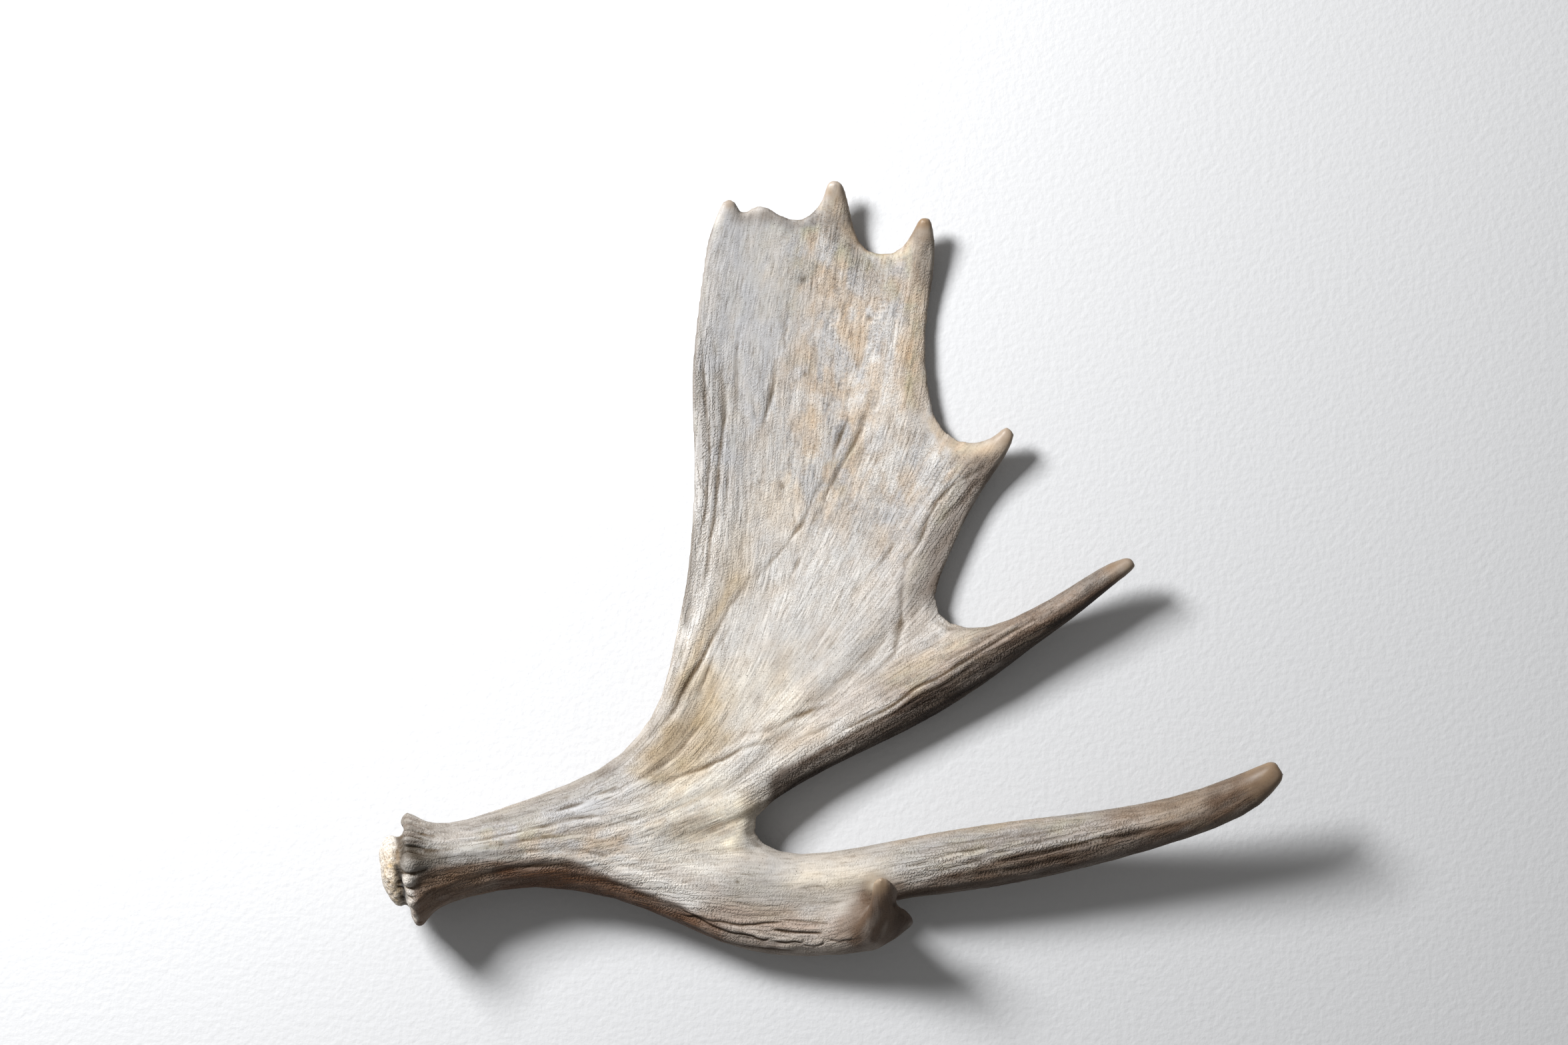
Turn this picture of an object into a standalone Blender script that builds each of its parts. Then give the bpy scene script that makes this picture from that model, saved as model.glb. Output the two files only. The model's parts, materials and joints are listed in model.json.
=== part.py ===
"""A shed moose antler, lying on its back.

One cage of quads is grown from the shed base to the points: rows of vertices ("ribs") are laid across
the antler, from its left rim to its right rim, on the front and on the back. A fork hands some of its
columns to each child, so the columns run unbroken from the burr to every point. Subdivision rounds the
cage, and prisms then part the antler at its main forks.

Lengths are millimetres in the antler's own frame: x from the shed base towards the brow tine's point,
y towards the palm's crown, and z out of the palm's hollow face.
"""

from collections import namedtuple
from math import cos, pi, sin

import bmesh
import bpy
from mathutils import Matrix, Vector

MM = 0.001

# Driving dimensions
REST_FLAT = 0.4  # depth of the flats where the antler touches the floor
SPLIT_GAP = 0.3  # between two pieces where the antler is parted
TOWARDS_VIEWER = (0, 0, 1)

# A rib crosses the antler from its left rim to its right rim.
#   thick: thickness in the middle       rims: thickness towards the left and the right rim
#   flat: 2 for an ellipse, up to 14 for a plate with a rounded rim
#   sag: how far the middle lies behind the straight line between the rims
#   front: the way its front face looks  ridges: height of the long ridges
#   knobs: height of the burr's pearls
Rib = namedtuple("Rib", "left right thick rims flat sag front ridges knobs")
Branch = namedtuple("Branch", "name columns ribs children")


def rib(left, right, thick, rims=None, flat=2.0, sag=0.0, front=TOWARDS_VIEWER, ridges=0.6, knobs=0.0):
    rims = rims or (thick, thick)
    return Rib(Vector(left), Vector(right), thick, rims, flat, sag, Vector(front).normalized(), ridges, knobs)


def branch(name, columns, ribs, children=()):
    return Branch(name, columns, ribs, children)


CROWN_POINTS = (
    branch("crown_corner", 2, [
        rib((252, 554, 12), (270, 556, 10), 9, ridges=0),
        rib((257, 567, 16), (266, 567, 15), 7, ridges=0),
    ]),
    branch("crown_bump", 2, [
        rib((277, 560, 9), (298, 556, 7), 8, ridges=0),
        rib((283, 562, 10), (291, 561, 9), 6, ridges=0),
    ]),
    branch("crown_point", 3, [
        rib((316, 550, 7), (357, 540, 5), 13),
        rib((330, 561, 11), (352, 559, 9), 13),
        rib((334, 573, 16), (349, 572, 14), 11, ridges=0.2),
        rib((336, 580, 20), (345, 580, 19), 6, ridges=0),
    ]),
)
CROWN = branch("crown", 7, [
    rib((246, 538, 11), (363, 529, 4), 10, (11, 12), 14, 5, ridges=1.7),
], CROWN_POINTS)
SECOND_POINT = branch("second_point", 3, [
    rib((388, 527, 3), (416, 509, 4), 14),
    rib((396, 536, 7), (417, 530, 8), 15),
    rib((401, 545, 12), (415, 543, 13), 12, ridges=0.2),
    rib((405, 553, 17), (412, 553, 18), 6, ridges=0),
])
UPPER_PALM = branch("upper_palm", 10, [
    rib((234, 443, 9), (415, 404, 2), 11, (12, 14), 14, 9, ridges=2.0),
    rib((238, 480, 9), (408, 444, 2), 11, (12, 13), 14, 9, ridges=2.0),
    rib((243, 520, 11), (411, 488, 2), 10, (12, 13), 14, 8, ridges=1.8),
], (CROWN, SECOND_POINT))
THIRD_POINT = branch("third_point", 3, [
    rib((435, 384, 2), (450, 346, 1), 16),
    rib((453, 384, 6), (464, 366, 5), 16),
    rib((464, 391, 11), (472, 380, 11), 12, ridges=0.2),
    rib((469, 397, 15), (476, 391, 15), 6, ridges=0),
])
MIDDLE_PALM = branch("middle_palm", 13, [
    rib((236, 366, 8), (414, 270, 0), 12, (13, 17), 14, 9, ridges=2.1),
    rib((235, 395, 8), (426, 296, 0), 12, (12, 16), 14, 9, ridges=2.1),
    rib((234, 420, 8), (437, 322, 1), 11, (12, 15), 14, 9, ridges=2.1),
], (UPPER_PALM, THIRD_POINT))
PALM_TINE = branch("palm_tine", 4, [
    rib((428, 247, 2), (438, 192, 2), 30, ridges=1.7),
    rib((454, 242, 4), (465, 211, 4), 29, ridges=1.7),
    rib((492, 260, 9), (493, 234, 9), 26, ridges=1.4),
    rib((517, 275, 14), (519, 252, 14), 23, ridges=0.4),
    rib((540, 291, 20), (545, 275, 20), 19, ridges=0.3),
    rib((553, 296, 24), (559, 285, 24), 14, ridges=0),
    rib((560, 298, 27), (565, 292, 27), 8, ridges=0),
])
PALM = branch("palm", 17, [
    rib((213, 192, 5), (278, 104, 3), 34, (23, 35), 4, 4, ridges=2.2),
    rib((221, 235, 6), (311, 128, 1), 26, (19, 34), 6, 6, ridges=2.2),
    rib((231, 280, 7), (356, 150, 0), 17, (15, 33), 8, 8, ridges=2.2),
    rib((235, 326, 8), (398, 169, 0), 14, (14, 33), 10, 9, ridges=2.2),
], (MIDDLE_PALM, PALM_TINE))
BROW_TINE = branch("brow_tine", 4, [
    rib((360, 80, 5), (366, 42, 5), 33, ridges=1.7),
    rib((418, 93, 10), (422, 46, 10), 33, ridges=1.7),
    rib((490, 103, 17), (495, 59, 17), 31, ridges=1.4),
    rib((540, 109, 24), (547, 72, 24), 29, ridges=0.8),
    rib((590, 118, 34), (600, 88, 34), 27, ridges=0.4),
    rib((632, 134, 46), (645, 106, 46), 24, ridges=0.2),
    rib((652, 143, 54), (662, 123, 54), 18, ridges=0),
    rib((663, 148, 58), (671, 136, 58), 11, ridges=0),
])
BROW_STUB = branch("brow_stub", 3, [
    rib((352, 42, 8), (348, 1, 6), 36),
    rib((368, 42, 18), (371, 3, 12), 42, front=(-0.5, 0, 0.87)),
    rib((377, 44, 38), (380, 12, 32), 43, front=(-0.9, 0, 0.4)),
    rib((375, 54, 54), (376, 32, 51), 34, front=(-1, 0, 0), ridges=0.3),
    rib((373, 60, 67), (373, 45, 66), 21, front=(-1, 0, 0), ridges=0),
    rib((372, 64, 74), (372, 57, 73), 10, front=(-1, 0, 0), ridges=0),
])
BROW = branch("brow_branch", 7, [
    rib((288, 81, -2), (257, 9, -4), 41, flat=3, ridges=2.2),
    rib((311, 73, -1), (297, -2, -4), 40, flat=3, ridges=2.2),
], (BROW_TINE, BROW_STUB))
BEAM = branch("beam", 24, [
    rib((1, 77, 10), (4, 54, 10), 22, ridges=0),
    rib((3, 87, 10), (10, 42, 10), 42, ridges=0),
    rib((10, 92, 10), (17, 35, 10), 56, ridges=0),
    rib((17, 90, 10), (23, 40, 10), 52, ridges=0),
    rib((17, 102, 10), (26, 32, 10), 70, knobs=2.5),
    rib((21, 105, 10), (31, 22, 10), 80, knobs=4),
    rib((28, 103, 9), (36, 28, 9), 74, knobs=3),
    rib((40, 98, 9), (44, 38, 9), 60, ridges=1, knobs=1),
    rib((63, 100, 8), (65, 45, 8), 50, ridges=1.2),
    rib((112, 117, 5), (114, 56, 5), 49, ridges=1.6),
    rib((170, 139, 3), (181, 44, 3), 48, ridges=1.6),
    rib((195, 164, 3), (219, 27, 2), 43, flat=3, ridges=1.6),
], (PALM, BROW))


def even_angles(count):
    """Where count columns cross a round section: they stand at even angles round its rim."""
    return [(1 - cos(pi * (c + 0.5) / count)) / 2 for c in range(count)]


def swell(count):
    """Subdivision draws a ring of 2 * count points in, and this factor puts it back out."""
    return 3 / (2 + cos(pi / count))


def long_ridge(column, side):
    """The long ridges follow the columns: -1 to 1, uneven from one column to the next."""
    return 0.6 * sin(2.6 * column + side) + 0.4 * sin(4.3 * column + 2 * side)


def pearl(column, count, side):
    """The burr's lumps: -1 to 1, at uneven steps round the rim."""
    turn = pi * (column + 0.5) / count * side
    return 0.6 * sin(9 * turn + 0.8 * sin(2 * turn)) + 0.4 * sin(14 * turn + 1.0)


def place(section, shares, first):
    """A rib's points on the front and on the back, at these shares of the way across."""
    grow = swell(len(shares))
    middle = (section.left + section.right) / 2
    across = (section.right - section.left) * grow
    front, back = [], []
    for c, share in enumerate(shares):
        off = 2 * share - 1
        thick = section.thick
        thick += (section.rims[0] - section.thick) * (1 - share) ** 4
        thick += (section.rims[1] - section.thick) * share**4
        half = grow * thick / 2 * (1 - abs(off) ** section.flat) ** 0.5
        at = middle + across * (off / 2) - section.front * (section.sag * (1 - off * off))
        for side, row in ((1, front), (-1, back)):
            point = at + section.front * (half * side)
            out = (point - middle).normalized() if section.flat <= 4 else section.front * side
            lump = section.ridges * long_ridge(first + c, side)
            lump += section.knobs * pearl(c, len(shares), side)
            row.append(point + out * lump)
    return front, back


def fork_rows(parts, first):
    """The last rows of a branch: the first ribs of its children, side by side."""
    front, back = [], []
    for child in parts:
        child_front, child_back = place(child.ribs[0], even_angles(child.columns), first)
        front += child_front
        back += child_back
        first += child.columns
    return front, back


def shares_along(row):
    """How far along the line from the first point to the last each point lies, from 0 to 1."""
    line = row[-1] - row[0]
    low, high = even_angles(len(row))[0], even_angles(len(row))[-1]
    return [low + (high - low) * (p - row[0]).dot(line) / line.length_squared for p in row]


class Cage:
    def __init__(self):
        self.mesh = bmesh.new()

    def row(self, points):
        front, back = points
        return [self.mesh.verts.new(p * MM) for p in front], [self.mesh.verts.new(p * MM) for p in back]

    def quad(self, *corners):
        self.mesh.faces.new(corners)

    def skin(self, old, new):
        """Joins two rows all the way round."""
        (old_front, old_back), (new_front, new_back) = old, new
        for c in range(len(new_front) - 1):
            self.quad(old_front[c], old_front[c + 1], new_front[c + 1], new_front[c])
            self.quad(old_back[c + 1], old_back[c], new_back[c], new_back[c + 1])
        self.quad(old_back[0], old_front[0], new_front[0], new_back[0])
        self.quad(old_front[-1], old_back[-1], new_back[-1], new_front[-1])

    def close(self, row, first, last):
        """Joins front to back between two columns, at a point or in the crotch of a fork."""
        front, back = row
        for c in range(first, last):
            self.quad(front[c], front[c + 1], back[c + 1], back[c])

    def grow(self, part, root=None, first=0):
        """Builds a branch on from its root row, and then its children."""
        start = even_angles(part.columns)
        ends = fork_rows(part.children, first) if part.children else None
        finish = shares_along(ends[0]) if ends else start
        row = root
        for i, section in enumerate(part.ribs):
            if i == 0 and root:
                continue
            way = i / len(part.ribs)
            shares = [a + (b - a) * way for a, b in zip(start, finish)]
            new = self.row(place(section, shares, first))
            if row:
                self.skin(row, new)
            else:
                self.close(new[::-1], 0, part.columns - 1)
            row = new
        if not ends:
            self.close(row, 0, part.columns - 1)
            return
        new = self.row(ends)
        self.skin(row, new)
        begin = 0
        for child in part.children:
            end = begin + child.columns
            self.grow(child, (new[0][begin:end], new[1][begin:end]), first + begin)
            if end < part.columns:
                self.close(new, end - 1, end)
            begin = end

    def finish(self, name):
        mesh = bpy.data.meshes.new(name)
        self.mesh.to_mesh(mesh)
        self.mesh.free()
        mesh.shade_smooth()
        return mesh


# Where the antler is parted, seen from the front. The crotch of the main fork is open space.
CROTCH = (292, 95)
BEAM_BRIM = (190, 250)
BROW_FOOT = (262, -2)
TINE_TOP = (436, 262)
TINE_FOOT = (450, 175)
BROW_GAP = (340, 108)
PIECES = {
    "beam": [CROTCH, BEAM_BRIM, (190, 300), (-60, 300), (-60, -60), (262, -60), BROW_FOOT],
    "brow_branch": [CROTCH, BROW_FOOT, (262, -60), (800, -60), (800, 200), BROW_GAP],
    "palm": [CROTCH, BROW_GAP, TINE_FOOT, TINE_TOP, (620, 332), (620, 640), (190, 640), BEAM_BRIM],
    "palm_tine": [TINE_TOP, TINE_FOOT, (800, 215), (800, 400), (620, 332)],
}
CUTTER_REACH = 200.0

BONE_COLOURS = {
    "beam": (0.42, 0.37, 0.31, 1),
    "brow_branch": (0.44, 0.38, 0.31, 1),
    "palm": (0.50, 0.46, 0.40, 1),
    "palm_tine": (0.40, 0.34, 0.27, 1),
}
BONE_ROUGHNESS = 0.6


def inset(outline, margin):
    """The outline, counterclockwise, with every side moved inwards."""
    points = [Vector(p) for p in outline]
    moved = []
    for i, corner in enumerate(points):
        before = (corner - points[i - 1]).normalized()
        after = (points[(i + 1) % len(points)] - corner).normalized()
        inward_before = Vector((-before.y, before.x))
        inward_after = Vector((-after.y, after.x))
        way = inward_before + inward_after
        moved.append(corner + way * (margin / (1 + inward_before.dot(inward_after))))
    return moved


def area(outline):
    return sum(a[0] * b[1] - b[0] * a[1] for a, b in zip(outline, outline[1:] + outline[:1])) / 2


def prism(name, outline, low, high):
    """A cutter: the outline, raised from low to high."""
    if area(outline) < 0:
        outline = outline[::-1]
    shape = bmesh.new()
    base = [shape.verts.new(Vector((p.x, p.y, low)) * MM) for p in inset(outline, SPLIT_GAP / 2)]
    floor = shape.faces.new(base)
    raised = bmesh.ops.extrude_face_region(shape, geom=[floor])["geom"]
    top = [v for v in raised if isinstance(v, bmesh.types.BMVert)]
    bmesh.ops.translate(shape, verts=top, vec=(0, 0, (high - low) * MM))
    bmesh.ops.recalc_face_normals(shape, faces=shape.faces)
    mesh = bpy.data.meshes.new(name)
    shape.to_mesh(mesh)
    shape.free()
    return helper(name, mesh)


def helper(name, mesh):
    obj = bpy.data.objects.new(name, mesh)
    bpy.context.scene.collection.objects.link(obj)
    obj.hide_render = True
    obj.display_type = "WIRE"
    return obj


def cut(obj, operation, cutter):
    boolean = obj.modifiers.new(cutter.name, "BOOLEAN")
    boolean.operation = operation
    boolean.object = cutter
    boolean.solver = "EXACT"


def rounded(obj):
    subdivision = obj.modifiers.new("round", "SUBSURF")
    subdivision.levels = 1
    subdivision.render_levels = 1


def bone(name):
    material = bpy.data.materials.new(name)
    material.use_nodes = True
    shader = material.node_tree.nodes["Principled BSDF"]
    shader.inputs["Base Color"].default_value = BONE_COLOURS[name]
    shader.inputs["Roughness"].default_value = BONE_ROUGHNESS
    shader.inputs["Metallic"].default_value = 0.0
    return material


def lying_down(whole):
    """The placement that lays the antler on the side of its hull under its centre of mass."""
    bpy.context.view_layer.update()
    graph = bpy.context.evaluated_depsgraph_get()
    solid = bmesh.new()
    solid.from_object(whole, graph)
    bmesh.ops.triangulate(solid, faces=solid.faces)
    volume, balance = 0.0, Vector()
    for face in solid.faces:
        a, b, c = (v.co for v in face.verts)
        share = a.dot(b.cross(c)) / 6
        volume += share
        balance += (a + b + c) / 4 * share
    balance /= volume
    bmesh.ops.delete(solid, geom=solid.faces[:] + solid.edges[:], context="EDGES_FACES")
    hull = bmesh.ops.convex_hull(solid, input=solid.verts, use_existing_faces=False)
    faces = [f for f in hull["geom"] if isinstance(f, bmesh.types.BMFace) and f.normal.z < 0]
    under = min(faces, key=lambda f: height_over(f, balance))
    turn = under.normal.rotation_difference(Vector((0, 0, -1))).to_matrix()
    points = [turn @ v.co for v in solid.verts]
    solid.free()
    low = Vector(min(p[i] for p in points) for i in range(3))
    high = Vector(max(p[i] for p in points) for i in range(3))
    shift = Vector((-(low.x + high.x) / 2, -(low.y + high.y) / 2, -low.z - REST_FLAT * MM))
    return Matrix.Translation(shift) @ turn.to_4x4()


def height_over(face, point):
    """How far the point stands over the face's plane, measured along z."""
    return (point - face.verts[0].co).dot(face.normal) / face.normal.z


def main():
    for old in list(bpy.data.objects):
        bpy.data.objects.remove(old)
    cage = Cage()
    cage.grow(BEAM)
    mesh = cage.finish("antler_cage")
    whole = helper("whole_antler", mesh)
    rounded(whole)
    placement = lying_down(whole)
    holder = bpy.data.objects.new("antler", None)
    bpy.context.scene.collection.objects.link(holder)
    holder.matrix_world = placement
    whole.parent = holder
    floor = prism("floor", [(-1500, -1500), (1500, -1500), (1500, 1500), (-1500, 1500)], -100, 0)
    for name, outline in PIECES.items():
        piece = bpy.data.objects.new(name, mesh.copy())
        bpy.context.scene.collection.objects.link(piece)
        piece.data.materials.append(bone(name))
        piece.parent = holder
        rounded(piece)
        cutter = prism(name + "_region", outline, -CUTTER_REACH, CUTTER_REACH)
        cutter.parent = holder
        cut(piece, "INTERSECT", cutter)
        cut(piece, "DIFFERENCE", floor)


main()
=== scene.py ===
"""The dressed moose antler on a pale studio floor, seen from straight above.

One skin stands for the four solids. Its relief follows growth lines that run from the burr to every
point: vessel grooves, folds, the burr's pearls, the crests under the brow branch and the porous shed
base. Its tones lie in listed patches, and the bone's fibres follow the same lines.

Places are in millimetres as the camera sees them: x from the shed base towards the brow tine's point,
y from the antler's lowest edge towards the palm's crown.
"""

import json
from collections import namedtuple
from itertools import product

import bmesh
import bpy
import numpy as np
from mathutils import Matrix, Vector

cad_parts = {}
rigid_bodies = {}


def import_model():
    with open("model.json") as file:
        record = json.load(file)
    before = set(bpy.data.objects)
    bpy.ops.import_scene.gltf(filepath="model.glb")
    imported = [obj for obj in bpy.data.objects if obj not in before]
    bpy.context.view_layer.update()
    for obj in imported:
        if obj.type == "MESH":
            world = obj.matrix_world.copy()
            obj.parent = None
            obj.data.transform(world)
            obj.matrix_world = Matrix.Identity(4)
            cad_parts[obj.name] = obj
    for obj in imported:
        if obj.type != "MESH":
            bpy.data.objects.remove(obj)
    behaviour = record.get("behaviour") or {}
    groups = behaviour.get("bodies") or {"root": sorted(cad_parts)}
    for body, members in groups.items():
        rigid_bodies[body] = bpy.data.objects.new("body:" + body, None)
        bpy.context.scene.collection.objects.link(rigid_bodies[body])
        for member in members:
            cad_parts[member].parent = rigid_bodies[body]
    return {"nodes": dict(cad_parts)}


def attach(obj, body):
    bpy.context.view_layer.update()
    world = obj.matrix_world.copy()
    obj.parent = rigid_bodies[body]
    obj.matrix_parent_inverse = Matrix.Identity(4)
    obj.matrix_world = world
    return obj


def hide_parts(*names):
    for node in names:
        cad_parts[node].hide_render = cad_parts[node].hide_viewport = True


MM = 0.001
PIECE = "antler"

# Kinds of noise, with sizes in millimetres: round lumps, streaks along the growth lines, and a sway that
# makes straight edges wavy
Lumps = namedtuple("Lumps", "size seed")
Streaks = namedtuple("Streaks", "size reach seed")
Sway = namedtuple("Sway", "size seeds amount")
NOISE_VALUES = 4093
NOISE_KEYS = (73856093, 19349663, 83492791)
STREAK_TAPS = 6

# Round areas: the middle, and how far they reach
Spot = namedtuple("Spot", "place reach")

# The picture: half a millimetre to a pixel at the palm's height
PICTURE_WIDTH = 2352
PIXEL = 0.5 * MM
PALM_HEIGHT = 20 * MM
LENS = 85.0
SENSOR = 36.0
CAMERA_RANGE = PICTURE_WIDTH * PIXEL * LENS / SENSOR
PICTURE_MIDDLE = np.array((303.0, 324.5))
EYE = np.array((-0.0331, 0.0345, PALM_HEIGHT + CAMERA_RANGE))

# The skin: the swelling that closes the seams, the quads' size, rounds of smoothing before and after the
# fine areas are cut, the most triangles, and the rounds over which hollows are measured
SEAM = 0.25 * MM
VOXEL = 1.4 * MM
FAIRING = 80
REFAIRING = 6
TRIANGLES = 196000
HOLLOW_ROUNDS = 8

# Growth lines, from the burr to each point. A third number is the height above the floor.
LINE_HEIGHT = 20
LINE_REACH = 12.0
RIM = [(0, 95), (40, 93), (80, 99), (120, 114), (160, 131), (190, 156)]
TOP = [(0, 84), (40, 84), (80, 90), (120, 102), (165, 120), (205, 150)]
MIDDLE = [(0, 74), (40, 76), (80, 80), (120, 89), (175, 103), (225, 130)]
LOW = [(0, 66), (40, 66), (80, 69), (120, 78), (180, 86), (235, 104)]
UNDER = [(0, 56), (40, 56), (80, 59), (120, 66), (185, 64), (240, 62)]
EDGE = [(0, 42), (40, 45), (80, 50), (120, 57), (165, 50), (210, 34)]
GROWTH_LINES = [
    RIM + [(209, 185), (220, 220), (231, 280), (236, 350), (236, 430), (243, 510), (260, 565)],
    TOP + [(228, 190), (246, 240), (258, 300), (262, 370), (268, 460), (288, 560)],
    MIDDLE + [(262, 185), (284, 235), (300, 300), (312, 370), (322, 470), (340, 580)],
    MIDDLE + [(270, 176), (318, 250), (352, 320), (380, 400), (397, 490), (409, 552)],
    LOW + [(285, 155), (345, 215), (395, 275), (430, 335), (472, 393)],
    LOW + [(300, 146), (365, 184), (425, 218), (490, 248), (564, 296)],
    LOW + [(285, 118), (330, 140), (400, 178), (450, 204), (515, 250), (564, 294)],
    UNDER + [(300, 66), (360, 66), (420, 74), (500, 86), (580, 104, 50), (670, 141, 90)],
    UNDER + [(300, 50), (360, 58), (420, 66), (500, 78), (590, 100, 50), (670, 138, 90)],
    EDGE + [(260, 16), (320, 8), (356, 10, 30), (378, 22, 55), (376, 45, 80), (372, 60, 100)],
]

# Beds and crests of the visible face, along their middles. A depth below 0 is a crest.
Fold = namedtuple("Fold", "path width depth")
FOLDS = [
    Fold([(258, 440), (257, 400), (253, 360), (251, 340), (246, 300), (241, 270), (237, 250)], 2.4, 1.2),
    Fold([(243, 480), (243, 450), (244, 420), (246, 380)], 2.0, 1.0),
    Fold([(247, 400), (245, 360), (243, 335), (238, 300)], 1.6, 0.8),
    Fold([(268, 470), (268, 440), (266, 405)], 2.2, 0.7),
    Fold([(262, 372), (259, 345), (256, 325)], 2.0, 0.8),
    Fold([(298, 446), (294, 425), (291, 408), (287, 392)], 2.2, 1.2),
    Fold([(308, 492), (304, 476), (302, 462)], 2.4, 0.6),
    Fold([(366, 410), (360, 393), (348, 371), (340, 357), (332, 342)], 1.9, 1.1),
    Fold([(352, 402), (346, 390), (340, 376)], 1.8, 1.0),
    Fold([(334, 364), (324, 341), (317, 324), (303, 306), (295, 297), (283, 283)], 2.0, 0.9),
    Fold([(316, 300), (310, 288)], 1.8, 0.7),
    Fold([(277, 284), (263, 265), (254, 248), (242, 226), (231, 205), (217, 182), (203, 164)], 1.9, 0.9),
    Fold([(240, 221), (228, 197), (214, 175), (196, 156), (180, 144)], 1.6, 0.8),
    Fold([(262, 246), (250, 226), (243, 206), (236, 188)], 1.8, 0.8),
    Fold([(248, 182), (232, 163), (218, 147), (200, 134), (180, 125), (160, 120), (140, 116)], 2.0, 0.9),
    Fold([(140, 116), (120, 109), (100, 103), (70, 97)], 2.0, 0.8),
    Fold([(170, 117), (146, 112), (124, 107), (96, 99)], 1.8, 0.9),
    Fold([(292, 162), (275, 156), (258, 147), (239, 139), (214, 130)], 1.5, 0.9),
    Fold([(340, 188), (318, 180), (296, 171), (274, 166)], 1.8, 0.7),
    Fold([(345, 176), (326, 167), (306, 160)], 1.8, 0.8),
    Fold([(190, 103), (160, 104), (128, 101)], 1.6, 0.6),
    Fold([(456, 372), (440, 360), (429, 352), (418, 340), (409, 322), (400, 305), (392, 292)], 2.0, 1.5),
    Fold([(452, 366), (438, 344), (424, 328), (414, 312)], 1.8, 0.8),
    Fold([(393, 296), (391, 270), (390, 246), (386, 228), (374, 216), (360, 203)], 2.4, 0.9),
    Fold([(388, 312), (378, 298), (364, 282)], 1.8, 0.5),
    Fold([(352, 170), (380, 186), (402, 199), (440, 221), (470, 240), (504, 258)], 2.0, 3.0),
    Fold([(344, 160), (372, 176), (404, 193), (430, 208), (456, 226), (484, 240)], 1.8, 2.4),
    Fold([(420, 218), (450, 234), (480, 252)], 1.6, 1.4),
    Fold([(500, 252), (524, 268), (548, 283)], 2.0, 1.4),
    Fold([(452, 68), (478, 74), (510, 79), (538, 86), (566, 92), (600, 97)], 2.4, 2.6),
    Fold([(440, 60), (470, 64), (500, 70), (530, 75)], 2.2, 2.0),
    Fold([(396, 54), (430, 66), (470, 80), (520, 90)], 2.0, 1.2),
    Fold([(390, 64), (430, 76), (480, 89), (540, 99)], 1.6, 1.2),
    Fold([(400, 76), (450, 88), (510, 97)], 1.6, 0.9),
    Fold([(600, 103), (622, 108), (644, 117)], 2.4, 1.0),
    Fold([(45, 95), (70, 98), (100, 107), (140, 120)], 1.4, 0.7),
    Fold([(60, 88), (100, 97), (150, 113), (176, 126)], 1.4, 0.8),
    Fold([(40, 84), (80, 87), (120, 95), (160, 104)], 1.2, 0.6),
    Fold([(50, 78), (90, 83), (130, 88), (180, 95)], 1.4, 0.5),
    Fold([(70, 73), (110, 77), (150, 79), (190, 70)], 1.4, 0.4),
    Fold([(40, 66), (70, 69), (100, 73), (140, 74), (166, 69), (200, 59), (230, 48), (256, 36)], 2.6, -0.9),
    Fold([(70, 63), (100, 66), (136, 67), (166, 61)], 1.6, 0.8),
    Fold([(60, 55), (100, 61), (140, 60), (176, 53), (206, 43), (236, 30), (264, 17), (296, 8)], 2.6, 1.1),
    Fold([(50, 60), (84, 66), (112, 69)], 1.8, -0.6),
    Fold([(176, 59), (206, 47), (234, 33), (262, 20), (284, 14)], 3.4, -1.2),
]
FOLD_DEPTH = 0.5
FOLD_LIPS = 0.35
FOLD_LIP_PLACE = 2.2
FOLD_SWAY = Sway(22, (51, 52), 1.6)
FOLD_LUMPS = Lumps(16, 53)
FOLD_UNEVENNESS = 0.6
FOLD_DIRT_AND_SHADE = 0.55

# Overlapping crests of the brow branch's foot and of the burr, along their lower edges from left to right
Ledge = namedtuple("Ledge", "line depth")
LEDGES = [
    Ledge([(222, 37), (240, 29), (250, 26), (262, 24.5), (271, 22.7), (279, 23.5), (290, 25),
           (304, 25.5)], 1.3),
    Ledge([(222, 31), (236, 29.5), (244, 25.5), (250, 22), (256, 20), (263, 18), (271, 16.3), (279, 14.8),
           (283, 13), (288, 12), (296, 13.5)], 1.7),
    Ledge([(293, 20), (297, 19.3), (305, 18.8), (312, 18.3), (320, 17.4), (334, 17.6)], 1.7),
    Ledge([(296, 11), (304, 9.8), (311, 10.3), (318, 9)], 1.3),
    Ledge([(317, 8.5), (325, 7.3), (334, 9.5)], 1.1),
    Ledge([(222, 28), (240, 19.5), (250, 15.5), (260, 11), (270, 8.8), (282, 7), (300, 4.5),
           (316, 3.8)], 1.3),
    Ledge([(336, 12.5), (345, 10.5), (355, 13)], 0.9),
    Ledge([(300, 27), (318, 26), (338, 24)], 0.6),
    Ledge([(312, 49), (322, 52), (336, 52)], 0.4),
    Ledge([(262, 41), (280, 38), (300, 38)], 0.4),
    Ledge([(13, 94), (19, 97), (23, 97.3), (28, 95), (36, 92.5)], 1.0),
    Ledge([(12, 90), (18, 91.2), (23, 91), (32, 89.5)], 0.8),
    Ledge([(13, 82.5), (19, 85), (23, 85.6), (29, 84.6), (37, 84)], 0.8),
    Ledge([(15, 62), (22, 60.5), (28, 62), (36, 65), (48, 68.5)], 0.3),
    Ledge([(17, 104), (24, 102.5), (32, 99.5)], 0.7),
]
LEDGE_LIP = 2.2
LEDGE_BED = 0.9
LIP_HEIGHT = 0.55
BED_DEPTH = 0.7
LEDGE_TAPER = 0.15
LEDGE_SWAY = Sway(8, (55, 56), 0.7)
LEDGE_DIRT_AND_SHADE = 0.5
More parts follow.
